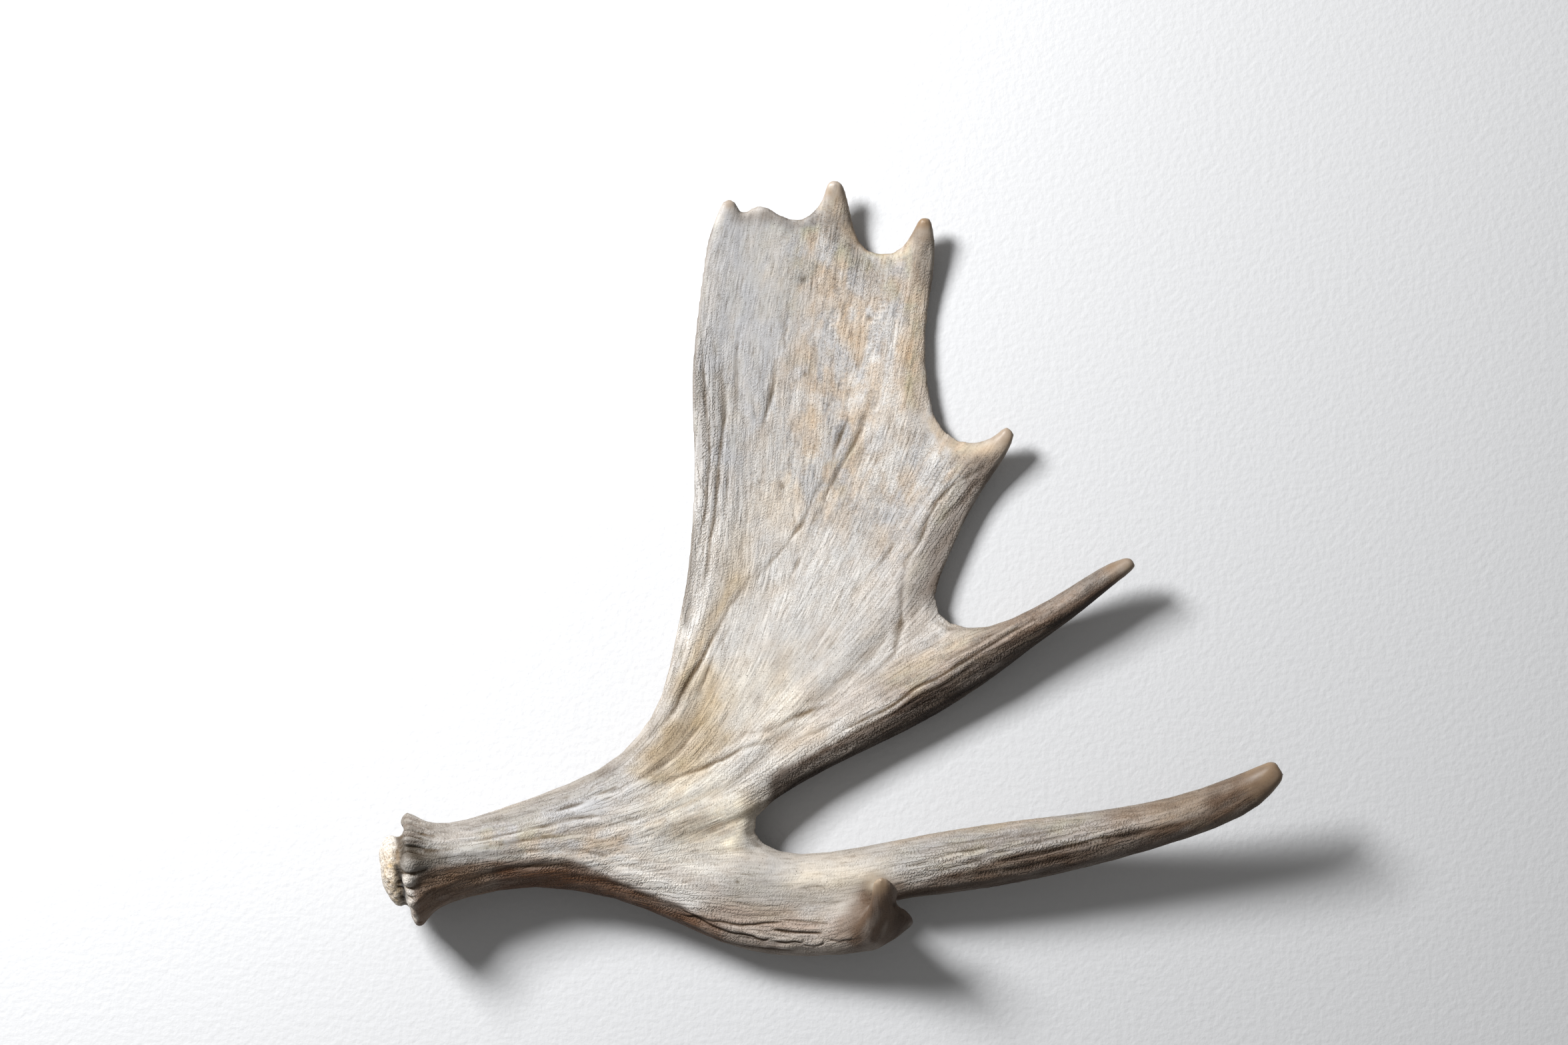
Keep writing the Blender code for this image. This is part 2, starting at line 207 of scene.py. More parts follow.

# Healed nicks, their beds darkened with painted shade
Nick = namedtuple("Nick", "place reach depth")
NICKS = [
    Nick((302, 352), 3.0, 0.4),
    Nick((367, 478), 2.6, 0.4),
    Nick((319, 436), 2.6, 0.4),
    Nick((318, 507), 3.4, 0.5),
    Nick((268, 55), 1.6, 0.5),
]
NICK_LUMPS = Lumps(2.5, 54)
NICK_RAGGEDNESS = 0.5
NICK_PAINTED_SHADE = 0.4

# How coarse the relief is: 0 where the bone is smooth, 1 where it is deeply grooved
Zone = namedtuple("Zone", "path width value")
COARSE = [
    Zone([(40, 90), (120, 108), (190, 140), (222, 190)], 14, 0.5),
    Zone([(60, 80), (150, 92)], 12, 0.4),
    Zone([(40, 55), (120, 60), (200, 40), (260, 12)], 10, 0.85),
    Zone([(220, 210), (240, 290), (246, 380), (246, 450)], 10, 0.65),
    Zone([(275, 540), (290, 470)], 28, 0.12),
    Zone([(340, 420), (330, 330), (300, 240)], 40, 0.3),
    Zone([(262, 200), (300, 236), (330, 226)], 20, 0.15),
    Zone([(240, 110), (270, 90), (320, 70)], 20, 0.12),
    Zone([(300, 120), (360, 155), (430, 195), (500, 240)], 11, 0.95),
    Zone([(400, 60), (480, 72), (560, 88)], 12, 0.8),
    Zone([(430, 320), (440, 350)], 14, 0.6),
    Zone([(236, 26), (270, 18), (300, 14), (345, 14)], 9, 0.55),
    Zone([(364, 28), (378, 20), (374, 50)], 13, 0.1),
    Zone([(256, 560), (290, 558), (312, 551), (330, 558)], 7, 0.03),
    Zone([(352, 548), (362, 533), (378, 526), (394, 530), (402, 544)], 7, 0.03),
    Zone([(412, 400), (425, 387), (440, 380), (460, 384)], 6, 0.03),
]
COARSE_ELSEWHERE = 0.4

# The coarse relief: long ribs, finer strands between them, and narrow beds of vessels
RIBS = Streaks(7, 36, 1)
STRANDS = Streaks(4, 14, 2)
VESSELS = Streaks(14, 40, 3)
RIB_HEIGHT = 0.22
STRAND_HEIGHT = 0.26
VESSEL_DEPTH = 0.3
VESSEL_WIDTH = 0.2

# The wavy crests under the brow branch
CREST_ZONE = Zone([(250, 12), (290, 10), (345, 12)], 13, 0.3)
CREST_STREAKS = Streaks(7, 14, 32)
CREST_LUMPS = Lumps(11, 31)
CREST_WARP = 1.5
CREST_SHARPNESS = 1.6

# Small corrections to the form: a place on it, how far the pull reaches, and the move
Nudge = namedtuple("Nudge", "place reach move")
NUDGES = [
    Nudge((393, 40), 7, (-7, -2, 0)),
    Nudge((396, 25), 6, (4, -1, 0)),
    Nudge((359, 32), 8, (0, 0, 9)),
    Nudge((360, 18), 7, (0, 0, 8)),
    Nudge((364, 43), 4, (0, 0, 9)),
    Nudge((272, 96), 18, (0, 0, 6)),
]

# Where the brow branch runs into its stub without a crease, and the rounds of smoothing there
RELAXED = [
    Zone([(328, 40), (345, 39), (357, 36)], 8, 1.0),
    Zone([(360, 32), (358, 14)], 7, 1.0),
    Zone([(368, 42), (367, 28), (366, 14)], 5, 1.0),
    Zone([(380, 34), (382, 22), (379, 12)], 4, 0.9),
]
RELAXING = 300

# Where the face that is seen has faces of half the size: the brow branch's foot and the burr
FINE = [
    Zone([(228, 32), (262, 17), (300, 12), (350, 14)], 12, 1.0),
    Zone([(14, 92), (20, 64), (24, 30)], 12, 1.0),
]
FINE_FROM = 0.4
FINE_FACING = -0.3

# The burr, round the beam's foot. A pearl's turn is in degrees: 0 at the picture's top, 90 in front.
BURR_MIDDLE = np.array((20.0, 64.0))
BURR_HEIGHT = 37.0
BURR_BED = 1.6
BURR_RING = 9.0
Pearl = namedtuple("Pearl", "turn width height rib")
PEARLS = [
    Pearl(9, 13, 2.8, 9),
    Pearl(32, 8, 3.2, 15),
    Pearl(46, 4.5, 2.8, 12),
    Pearl(56, 5.5, 2.8, 15),
    Pearl(81, 12.5, 4.8, 13),
    Pearl(102.5, 8.5, 3.6, 6),
    Pearl(115, 4, 2.8, 5),
    Pearl(128.5, 9.5, 3.4, 6),
    Pearl(147, 9, 2.8, 5),
    Pearl(167, 11, 2.2, 10),
    Pearl(187, 9, 3.0, 10),
    Pearl(204, 8, 3.4, 12),
    Pearl(220, 8, 3.0, 9),
    Pearl(238, 10, 3.8, 12),
    Pearl(254, 6, 2.6, 8),
    Pearl(269, 9, 3.6, 12),
    Pearl(287, 9, 3.2, 10),
    Pearl(303, 7, 3.0, 12),
    Pearl(318, 8, 3.4, 9),
    Pearl(335, 9, 3.0, 12),
    Pearl(351, 7, 2.6, 10),
]
PEARL_FRONT = 4.5
RIB_NARROWING = 0.45
WHITE_PEARLS = [Spot((20, 56), 3.4), Spot((18, 47), 2.2), Spot((21, 39), 3.2), Spot((27, 27), 2.2)]

# The seal, the rough face where the antler was shed
SEAL_END = 15.0
SEAL_EDGE = 3.0
SEAL_LEAN = 0.1
SEAL_LUMPS = Lumps(6, 22)
SEAL_SMALL_LUMPS = Lumps(3, 23)
SEAL_LUMP_HEIGHT = 0.6
SEAL_PORES = Lumps(2.6, 21)
SEAL_PORE_DEPTH = 0.6
SEAL_BED = [(15, 95), (13.5, 84), (12, 72), (12, 64), (14, 54), (16.5, 44), (20, 33)]
SEAL_BED_WIDTH = 2.0
SEAL_BED_DEPTH = 2.6
SEAL_CRACK = [(11.5, 67), (13.5, 60), (15.5, 53), (17, 48), (18.5, 42)]
SEAL_CRACK_WIDTH = 1.9
SEAL_STAIN = [(7, 72), (8, 62), (12, 48), (15, 38)]
SEAL_STAIN_WIDTH = 4.5
SEAL_STAIN_LUMPS = Lumps(3, 24)


def srgb(red, green, blue):
    """The linear colour for values from 0 to 255."""
    values = np.array((red, green, blue)) / 255
    return np.where(values > 0.04045, ((values + 0.055) / 1.055) ** 2.4, values / 12.92)


BONE = srgb(212, 209, 205)
GREY = srgb(172, 172, 174)
STONE = srgb(128, 121, 114)
DARK_GREY = srgb(122, 118, 113)
PALE_GREY = srgb(234, 232, 228)
CREAM = srgb(236, 224, 202)
PALE_CREAM_PAINTED_LIGHT = srgb(252, 242, 220)
TAN = srgb(188, 168, 144)
PINK_TAN = srgb(166, 150, 138)
COOL_STAIN = srgb(206, 208, 212)
WARM_STAIN = srgb(242, 226, 209)
OCHRE = srgb(186, 160, 116)
BROWN = srgb(98, 79, 64)
DARK_BROWN = srgb(42, 33, 27)
RUST = srgb(110, 74, 48)
SEAL = srgb(216, 210, 202)
BURR = srgb(88, 80, 69)
STUB_BROWN_AND_SHADE = srgb(112, 93, 78)
STUB_SIDE_PAINTED_SHADE = srgb(128, 113, 101)
HORN = srgb(132, 111, 89)
SOIL_AND_SHADE = srgb(172, 158, 140)
FLOOR = srgb(210, 211, 213)

# Tones along listed paths. Later ones lie over earlier ones.
Patch = namedtuple("Patch", "path width colour amount")
PATCHES = [
    Patch([(30, 78), (80, 86), (130, 94), (170, 104)], 15, STONE, 0.1),
    Patch([(100, 104), (150, 124), (200, 158)], 8, STONE, 0.15),
    # The brow tine's top and the palm tine's top, in this and the next two patches: grey-brown bone, with
    # painted shade where they face the lamp
    Patch([(270, 48), (330, 48), (380, 66), (440, 78), (500, 88), (560, 98)], 15, STONE, 0.45),
    Patch([(420, 74), (500, 88), (560, 98), (620, 112), (660, 132)], 13, STONE, 0.3),
    Patch([(380, 204), (430, 224), (480, 247), (530, 274)], 12, STONE, 0.45),
    Patch([(262, 550), (262, 480), (258, 420), (256, 380)], 26, GREY, 0.85),
    Patch([(300, 545), (304, 490), (296, 440)], 22, GREY, 0.7),
    Patch([(262, 214), (286, 240), (310, 262), (322, 300)], 26, PALE_GREY, 0.3),
    Patch([(322, 212), (350, 228), (368, 252)], 14, STONE, 0.3),
    Patch([(262, 190), (290, 200), (300, 180)], 20, CREAM, 0.4),
    # Painted light on the neck, which tilts away from the lamp, over its cream tone
    Patch([(215, 118), (240, 118), (258, 104), (232, 92)], 18, PALE_CREAM_PAINTED_LIGHT, 0.65),
    Patch([(40, 82), (70, 84), (110, 98), (160, 118), (200, 146)], 13, GREY, 0.6),
    Patch([(40, 72), (62, 74), (84, 76), (104, 78)], 4, DARK_GREY, 0.75),
    Patch([(276, 64), (306, 62), (336, 56)], 15, STONE, 0.25),
    Patch([(322, 60), (350, 57), (378, 60)], 9, CREAM, 0.5),
    Patch([(390, 75), (440, 84), (500, 94), (560, 104)], 12, GREY, 0.4),
    Patch([(560, 106), (600, 112), (640, 124), (664, 136)], 12, HORN, 0.75),
    Patch([(96, 88), (130, 88), (164, 83), (186, 76)], 6, TAN, 0.4),
    Patch([(352, 530), (360, 500), (350, 486)], 13, TAN, 0.2),
    Patch([(372, 512), (390, 514), (398, 500)], 10, PINK_TAN, 0.4),
    Patch([(408, 545), (406, 520), (400, 480), (400, 440), (396, 414)], 7, TAN, 0.85),
    Patch([(326, 440), (338, 424), (330, 400)], 14, TAN, 0.3),
    Patch([(304, 376), (326, 372), (300, 340)], 14, CREAM, 0.25),
    Patch([(352, 380), (350, 352), (336, 330)], 10, TAN, 0.5),
    Patch([(440, 372), (456, 378), (470, 388)], 7, TAN, 0.7),
    Patch([(450, 366), (435, 345), (422, 318), (410, 292), (406, 275)], 15, STONE, 0.5),
    Patch([(456, 370), (441, 348), (429, 322), (418, 298), (414, 276)], 8, BROWN, 0.6),
    Patch([(400, 330), (392, 300), (390, 262), (400, 246)], 14, PINK_TAN, 0.25),
    Patch([(380, 206), (400, 218), (430, 226), (470, 248)], 7, TAN, 0.4),
    Patch([(330, 184), (360, 190), (390, 204)], 9, PINK_TAN, 0.4),
    Patch([(290, 166), (310, 160), (330, 164)], 5, TAN, 0.5),
    Patch([(270, 310), (266, 296), (272, 284)], 9, OCHRE, 0.35),
    Patch([(222, 196), (240, 232), (256, 262), (266, 280)], 5, OCHRE, 0.5),
    Patch([(236, 200), (246, 210), (250, 190)], 8, OCHRE, 0.55),
    Patch([(206, 152), (224, 168), (240, 176)], 9, OCHRE, 0.8),
    Patch([(204, 140), (226, 170), (232, 196)], 8, STONE, 0.5),
    Patch([(226, 146), (240, 154), (256, 162)], 7, OCHRE, 0.6),
    Patch([(190, 138), (214, 134), (240, 142)], 5, OCHRE, 0.4),
    Patch([(222, 97), (226, 94), (216, 90)], 4, BROWN, 0.35),
    Patch([(272, 88), (274, 104), (282, 120), (302, 134)], 6, STONE, 0.3),
    # Painted light on the fork's rim, where it turns away from the lamp
    Patch([(262, 84), (266, 98), (270, 112)], 6, PALE_CREAM_PAINTED_LIGHT, 0.8),
    Patch([(180, 72), (200, 60), (224, 50), (244, 40)], 5, PALE_GREY, 0.85),
    Patch([(212, 64), (232, 58), (250, 48)], 5, PINK_TAN, 0.3),
    Patch([(262, 34), (290, 30), (310, 28)], 5, TAN, 0.5),
    Patch([(246, 26), (270, 22), (300, 18), (345, 16)], 10, PINK_TAN, 0.9),
    Patch([(250, 17), (280, 10), (320, 6)], 4, BROWN, 0.35),
    Patch([(388, 88), (410, 92), (440, 96), (500, 104)], 3, TAN, 0.5),
    Patch([(17, 104), (16, 90), (18, 76)], 8, BURR, 0.6),
    Patch([(22, 74), (28, 70)], 8, BURR, 0.85),
    Patch([(30, 69), (44, 72)], 6, BURR, 0.6),
    Patch([(80, 92), (140, 108), (180, 124)], 8, GREY, 0.5),
    Patch([(490, 252), (520, 266), (548, 286)], 9, BROWN, 0.75),
    Patch([(450, 236), (490, 256), (530, 278)], 8, DARK_GREY, 0.45),
    Patch([(552, 292), (566, 300)], 6, HORN, 0.7),
    Patch([(630, 114), (652, 124), (666, 132)], 9, BROWN, 0.95),
    Patch([(400, 196), (440, 222), (480, 246), (520, 268)], 8, PINK_TAN, 0.6),
    Patch([(420, 72), (470, 84), (520, 92), (570, 102)], 7, PINK_TAN, 0.3),
    Patch([(340, 572), (344, 556)], 8, TAN, 0.7),
    Patch([(328, 548), (340, 546), (354, 526)], 8, STONE, 0.6),
    Patch([(366, 512), (378, 506), (386, 496)], 7, STONE, 0.35),
    Patch([(262, 562), (276, 559), (292, 556)], 4, TAN, 0.3),
    # The crown's edges, in this and the next two patches: a brown edge line, with painted shade where the
    # edge faces the lamp
    Patch([(272, 555), (290, 555), (310, 548), (326, 553)], 5, STONE, 0.75),
    Patch([(334, 562), (330, 556), (352, 548), (360, 534)], 4, STONE, 0.6),
    Patch([(352, 545), (362, 532), (378, 525), (392, 529), (400, 542)], 4, TAN, 0.7),
    Patch([(405, 548), (408, 530), (408, 510)], 7, STONE, 0.75),
    Patch([(415, 505), (413, 470), (412, 440), (417, 405)], 3, BROWN, 0.35),
    # The fourth point's edge: a tan line, with painted shade where it faces the lamp
    Patch([(412, 398), (425, 386), (440, 379), (456, 380)], 4, TAN, 0.7),
    # Painted shade on the rims that face the lamp, in this and the next two patches, over their grey-brown
    # edge line
    Patch([(229, 250), (233, 300), (233, 420), (240, 500), (249, 545)], 3, STONE, 0.8),
    Patch([(170, 134), (200, 160), (216, 196), (226, 230)], 4, STONE, 0.5),
    Patch([(40, 97), (80, 102), (130, 118), (170, 138)], 5, STONE, 0.4),
    # Painted shade on the stub's left flank
    Patch([(346, 12), (352, 26), (360, 44)], 8, STUB_SIDE_PAINTED_SHADE, 0.6),
    # The stub's dark side, in this and the next three patches: brown bone, darkened as painted shade
    Patch([(380, 46), (384, 30), (378, 12), (392, 22)], 11, STUB_BROWN_AND_SHADE, 1.0),
    Patch([(392, 38), (396, 26), (386, 12)], 6, DARK_BROWN, 0.15),
    Patch([(370, 46), (366, 36), (361, 24), (357, 10)], 6, STUB_BROWN_AND_SHADE, 0.95),
    Patch([(371, 50), (379, 46), (380, 36)], 6, STUB_BROWN_AND_SHADE, 0.95),
    Patch([(376, 54), (377, 50)], 3, HORN, 0.7),
    # A painted highlight on the stub's tip
    Patch([(369, 56), (370, 53)], 3, CREAM, 0.95),
]
PATCH_STREAKS = Streaks(5, 20, 45)
PATCH_VARIATION = 0.2

# How the edges of stains wander. Those of patches wander PATCH_WAVES times as far, narrow ones less.
WIDE_SWAY = Sway(14, (41, 42), 1.0)
NARROW_SWAY = Sway(5, (43, 44), 0.5)
PATCH_WAVES = 5.0

# Stains below a line that runs from left to right, and how far down they reach. They are the
# undersides' brown bone with painted shade on it.
StainAndShade = namedtuple("StainAndShade", "line reach edge colour amount")
UNDERSIDE_STAINS_AND_SHADE = [
    StainAndShade([(26, 58), (40, 67), (60, 69), (80, 71), (110, 73), (140, 73), (165, 63), (182, 52), (204, 45),
           (230, 35), (240, 30)], 44, 3, BROWN, 0.92),
    StainAndShade([(26, 52), (60, 61), (100, 64)], 40, 7, RUST, 0.45),
    StainAndShade([(26, 56), (60, 63), (84, 65)], 40, 8, HORN, 0.3),
    StainAndShade([(90, 67), (140, 66), (170, 60), (206, 46), (256, 24)], 40, 6, RUST, 0.75),
    StainAndShade([(90, 55), (140, 54), (170, 48), (206, 34), (240, 18)], 40, 6, DARK_BROWN, 0.35),
    StainAndShade([(250, 16), (266, 9), (300, 3), (340, 2), (362, 6)], 20, 4, BROWN, 0.5),
    StainAndShade([(292, 134), (306, 142), (340, 159), (380, 180), (400, 195), (427, 211), (458, 230), (496, 251),
           (525, 268), (545, 281), (568, 292)], 36, 3, BROWN, 0.9),
    StainAndShade([(292, 130), (306, 138), (340, 155), (380, 176), (400, 191), (427, 208), (458, 227), (496, 248),
           (525, 265), (545, 277), (568, 289)], 36, 3.5, DARK_BROWN, 0.8),
    StainAndShade([(386, 44), (400, 52), (420, 60), (450, 67), (480, 77), (510, 82), (540, 88), (560, 93),
           (600, 101), (640, 112), (668, 134)], 27, 3, BROWN, 0.9),
    StainAndShade([(386, 38), (400, 46), (430, 54), (460, 61), (490, 69), (520, 76), (560, 88), (600, 94),
           (640, 104), (664, 120)], 27, 5, DARK_BROWN, 0.4),
]
STAIN_FADE = 8.0
STAIN_END = 5.0
# Painted shade on the steep flanks, which the lamp lights more brightly than the faces
FLANK_PAINTED_SHADE = 0.5

# Dark and pale strands where the relief is coarse
THIN_STREAKS = Streaks(3, 26, 46)
THIN_DARK = 0.12
THIN_PALE = 0.2

# Blots of darker tone where the bone is mottled
Blot = namedtuple("Blot", "size colour seed")
BLOTS = [
    Blot(6, GREY, 47),
    Blot(6, TAN, 48),
    Blot(13, GREY, 57),
    Blot(12, TAN, 58),
]
BLOT_STRETCH = 0.7
BLOT_AMOUNT = 0.55
MOTTLED = [
    Zone([(262, 540), (262, 440), (256, 360)], 26, 0.22),
    Zone([(340, 540), (360, 490), (340, 420), (330, 350)], 30, 1.0),
    Zone([(400, 520), (395, 430)], 18, 0.9),
    Zone([(420, 370), (380, 330)], 22, 0.8),
    Zone([(300, 300), (320, 230), (270, 200)], 30, 0.3),
    Zone([(400, 200), (470, 240), (550, 290)], 14, 0.9),
    Zone([(590, 106), (666, 136)], 14, 1.0),
    Zone([(215, 105), (255, 100)], 20, 0.55),
    Zone([(85, 86), (180, 84)], 9, 0.8),
    Zone([(300, 60), (400, 75)], 16, 0.2),
    Zone([(440, 82), (560, 98), (640, 120)], 16, 0.5),
]
MOTTLED_ELSEWHERE = 0.15

# The polished points
POINTS = [
    Spot((262, 564), 5),
    Spot((340, 578), 15),
    Spot((408, 551), 15),
    Spot((471, 392), 14),
    Spot((562, 296), 20),
    Spot((668, 139), 26),
    Spot((372, 54), 9),
]
POINT_HORN = 0.7
POINT_LUMPS = Lumps(7, 49)
POINT_ROUGHNESS = 0.38
BONE_ROUGHNESS = 0.66

# The finest detail, with sizes in millimetres. The shift keeps warm stains apart from cool ones.
VEIN_SIZE = 3.4
STRAND_SIZE = 2.2
HAIR_SIZE = 1.2
BLOTCH_SIZE = 2.6
PATCHY_SIZE = 22
PORE_SPACING = 2.4
FLECK_SIZE = 2.2
SPECK_SIZE = 1.6
WARM_SIZE = 4.5
WARM_SHIFT = (0.3, 0.1, 0.2)
COOL_SIZE = 5
BONE_BUMP = 0.65 * MM

# The step between a fibre's samples, in sizes: no whole number, or the noise's cells would show as bands
FIBRE_STEP = 0.83

# The floor, the lamp and the sky
FLOOR_REACH = 4
STIPPLE_SIZE = 5
STIPPLE_DEPTH = 1.2 * MM
LAMP_PLACE = (-1.25, 1.05, 1.3)
LAMP_SIZE = 0.6
LAMP_POWER = 86
SKY = (1.0, 0.985, 0.96, 1.0)
SKY_STRENGTH = 0.2


def seen_places(points):
    """Where the camera sees each point, in millimetres of the picture."""
    depth = EYE[2] - points[:, 2:]
    return (points[:, :2] - EYE[:2]) * (CAMERA_RANGE / depth) / MM + PICTURE_MIDDLE


def in_the_world(x, y, height=LINE_HEIGHT):
    """The point at this height, in millimetres, that the camera sees at this place."""
    depth = EYE[2] - height * MM
    across = (np.array((x, y)) - PICTURE_MIDDLE) * MM * (depth / CAMERA_RANGE)
    return np.array((EYE[0] + across[0], EYE[1] + across[1], height * MM))


def unit(vectors):
    return vectors / np.maximum(np.linalg.norm(vectors, axis=-1, keepdims=True), 1e-9)


def smooth_step(values, low, high):
    way = np.clip((values - low) / (high - low), 0, 1)
    return way * way * (3 - 2 * way)


def bell(values):
    """1 at 0, fading to 0 at about 2 on either side."""
    return np.exp(-(values**2))


def noise(points, seed):
    """Smooth noise from -1 to 1, about one lump to a unit."""
    table = np.random.default_rng(seed).uniform(-1, 1, NOISE_VALUES)
    cell = np.floor(points).astype(np.int64)
    part = points - cell
    ease = part * part * (3 - 2 * part)
    total = np.zeros(len(points))
    for corner in product((0, 1), repeat=3):
        x, y, z = (cell + corner).T
        key = (x * NOISE_KEYS[0] ^ y * NOISE_KEYS[1] ^ z * NOISE_KEYS[2]) % NOISE_VALUES
        total += table[key] * np.prod(np.where(corner, ease, 1 - ease), axis=1)
    return total


def lumps(bone, kind):
    return noise(bone.points / (kind.size * MM), kind.seed)


def sway(bone, kind):
    """How far each place wanders to the side and up, in millimetres."""
    return kind.amount * np.stack([lumps(bone, Lumps(kind.size, seed)) for seed in kind.seeds], axis=1)


def streaks(bone, kind):
    """Noise drawn out along the growth lines, with a standard deviation of a half."""
    total = np.zeros(len(bone.points))
    for tap in range(-STREAK_TAPS, STREAK_TAPS + 1):
        step = bone.flow * (tap * kind.reach * MM / STREAK_TAPS)
        total += noise((bone.points + step) / (kind.size * MM), kind.seed)
    return total / (2 * total.std())


def distances(places, place):
    return np.linalg.norm(places - place, axis=1)


def near_path(places, path):
    """Each place's distance to a path, and how far along the path its nearest point is, from 0 to 1."""
    path = np.array(path, float)
    steps = np.linalg.norm(np.diff(path, axis=0), axis=1)
    starts = np.concatenate(([0], np.cumsum(steps)))
    best = np.full(len(places), np.inf)
    along = np.zeros(len(places))
    for a, b, step, start in zip(path[:-1], path[1:], steps, starts):
        share = np.clip((places - a) @ (b - a) / step**2, 0, 1)
        distance = np.linalg.norm(places - a - share[:, None] * (b - a), axis=1)
        nearer = distance < best
        best[nearer] = distance[nearer]
        along[nearer] = (start + share[nearer] * step) / starts[-1]
    return best, along


def below(places, line):
    """How far below a line from left to right each place is, how far from it, and how far along."""
    away, along = near_path(places, line)
    line = np.array(line, float)
    level = np.interp(places[:, 0], line[:, 0], line[:, 1])
    return np.copysign(away, level - places[:, 1]), away, along


def on_path(places, path, width):
    """1 on a path, fading to 0 at about three times its width."""
    distance, _ = near_path(places, path)
    return np.exp(-((distance / width) ** 2) / 2)


def zoned(places, zones, elsewhere):
    """A value that takes each zone's own inside it."""
    value = np.full(len(places), float(elsewhere))
    for zone in zones:
        value += (zone.value - value) * on_path(places, zone.path, zone.width)
    return value


class Surface:
    """A mesh's vertices as arrays, in metres."""

    def __init__(self, mesh):
        self.mesh = mesh
        self.points = np.empty((len(mesh.vertices), 3))
        mesh.vertices.foreach_get("co", self.points.reshape(-1))
        self.edges = np.empty((len(mesh.edges), 2), np.int32)
        mesh.edges.foreach_get("vertices", self.edges.reshape(-1))
        self.degree = np.bincount(self.edges.reshape(-1), minlength=len(self.points))

    def around(self, values):
        """The mean of each vertex's neighbours, for three columns of values."""
        a, b = self.edges.T
        count = len(self.points)
        totals = [np.bincount(a, v[b], count) + np.bincount(b, v[a], count) for v in values.T]
        return np.stack(totals, axis=1) / self.degree[:, None]

    def fair(self, rounds):
        """Takes the facets off: each pull inwards is followed by one that puts the form back out."""
        for _ in range(rounds):
            for pull in (0.5, -0.52):
                self.points += pull * (self.around(self.points) - self.points)

    def relax(self, share, rounds):
        """Draws the form flat where the share is 1."""
        for _ in range(rounds):
            self.points += 0.5 * share[:, None] * (self.around(self.points) - self.points)

    def hollows(self, normals, rounds):
        """How far each vertex lies below its surroundings, in millimetres."""
        level = self.points
        for _ in range(rounds):
            level = self.around(level)
        return np.sum((level - self.points) * normals, axis=1) / MM

    def normals(self):
        self.mesh.vertices.foreach_set("co", self.points.reshape(-1))
        self.mesh.update()
        normals = np.empty((len(self.points), 3))
        self.mesh.vertex_normals.foreach_get("vector", normals.reshape(-1))
        return normals

    def keep(self, name, values):
        """Stores values on the vertices, for the material."""
        kind, field = ("FLOAT", "value") if values.ndim == 1 else ("FLOAT_VECTOR", "vector")
        attribute = self.mesh.attributes.new(name, kind, "POINT")
        attribute.data.foreach_set(field, values.astype(np.float32).reshape(-1))


def new_object(name, data):
    obj = bpy.data.objects.new(name, data)
    bpy.context.scene.collection.objects.link(obj)
    return obj


def applied(obj):
    """The object's mesh with its modifiers applied. The object itself is removed."""
    graph = bpy.context.evaluated_depsgraph_get()
    mesh = bpy.data.meshes.new_from_object(obj.evaluated_get(graph))
    bpy.data.objects.remove(obj)
    return mesh


def welded(nodes):
    """One closed mesh of small even quads round all the solids."""
    parts = [new_object("part", node.data.copy()) for node in nodes]
    with bpy.context.temp_override(
        active_object=parts[0], object=parts[0], selected_objects=parts, selected_editable_objects=parts
    ):
        bpy.ops.object.join()
    whole = parts[0]
    swell = whole.modifiers.new("swell", "DISPLACE")
    swell.strength = SEAM
    swell.mid_level = 0.0
    remesh = whole.modifiers.new("remesh", "REMESH")
    remesh.mode = "VOXEL"
    remesh.voxel_size = VOXEL
    return applied(whole)


def refined(surface):
    """The surface with the edges cut in half where it is fine."""
    places = seen_places(surface.points)
    fine = (zoned(places, FINE, 0) > FINE_FROM) & (surface.normals()[:, 2] > FINE_FACING)
    cut = bmesh.new()
    cut.from_mesh(surface.mesh)
    cut.edges.ensure_lookup_table()
    edges = [cut.edges[index] for index in np.flatnonzero(fine[surface.edges].all(axis=1))]
    bmesh.ops.subdivide_edges(cut, edges=edges, cuts=1, use_grid_fill=True)
    cut.to_mesh(surface.mesh)
    cut.free()
    return Surface(surface.mesh)


def whole_form(nodes):
    """The antler's smooth form as one surface, without its relief."""
    surface = Surface(welded(nodes))
    surface.fair(FAIRING)
    places = seen_places(surface.points)
    for nudge in NUDGES:
        near = bell(distances(places, nudge.place) / nudge.reach)
        surface.points += near[:, None] * np.array(nudge.move) * MM
    surface.relax(zoned(places, RELAXED, 0), RELAXING)
    surface = refined(surface)
    surface.fair(REFAIRING)
    return surface


def growth(points):
    """The way the antler grew at each point, from the growth lines near it."""
    flow = np.zeros_like(points)
    for line in GROWTH_LINES:
        ends = [in_the_world(*place) for place in line]
        for a, b in zip(ends[:-1], ends[1:]):
            share = np.clip((points - a) @ (b - a) / ((b - a) @ (b - a)), 0, 1)
            gap = np.sum((points - a - share[:, None] * (b - a)) ** 2, axis=1)
            weight = (gap + (LINE_REACH * MM) ** 2) ** -2
            flow += weight[:, None] * unit(b - a)
    return unit(flow)


# What the relief and the tones are worked out from, at every vertex of the smooth form.
# Up is 1 on the face that the camera sees and 0 on the back.
Bone = namedtuple("Bone", "points places normals up flow")


def bone_of(surface):
    points = surface.points
    normals = surface.normals()
    flow = growth(points)
    flow = unit(flow - np.sum(flow * normals, axis=1, keepdims=True) * normals)
    return Bone(points, seen_places(points), normals, smooth_step(normals[:, 2], -0.2, 0.2), flow)


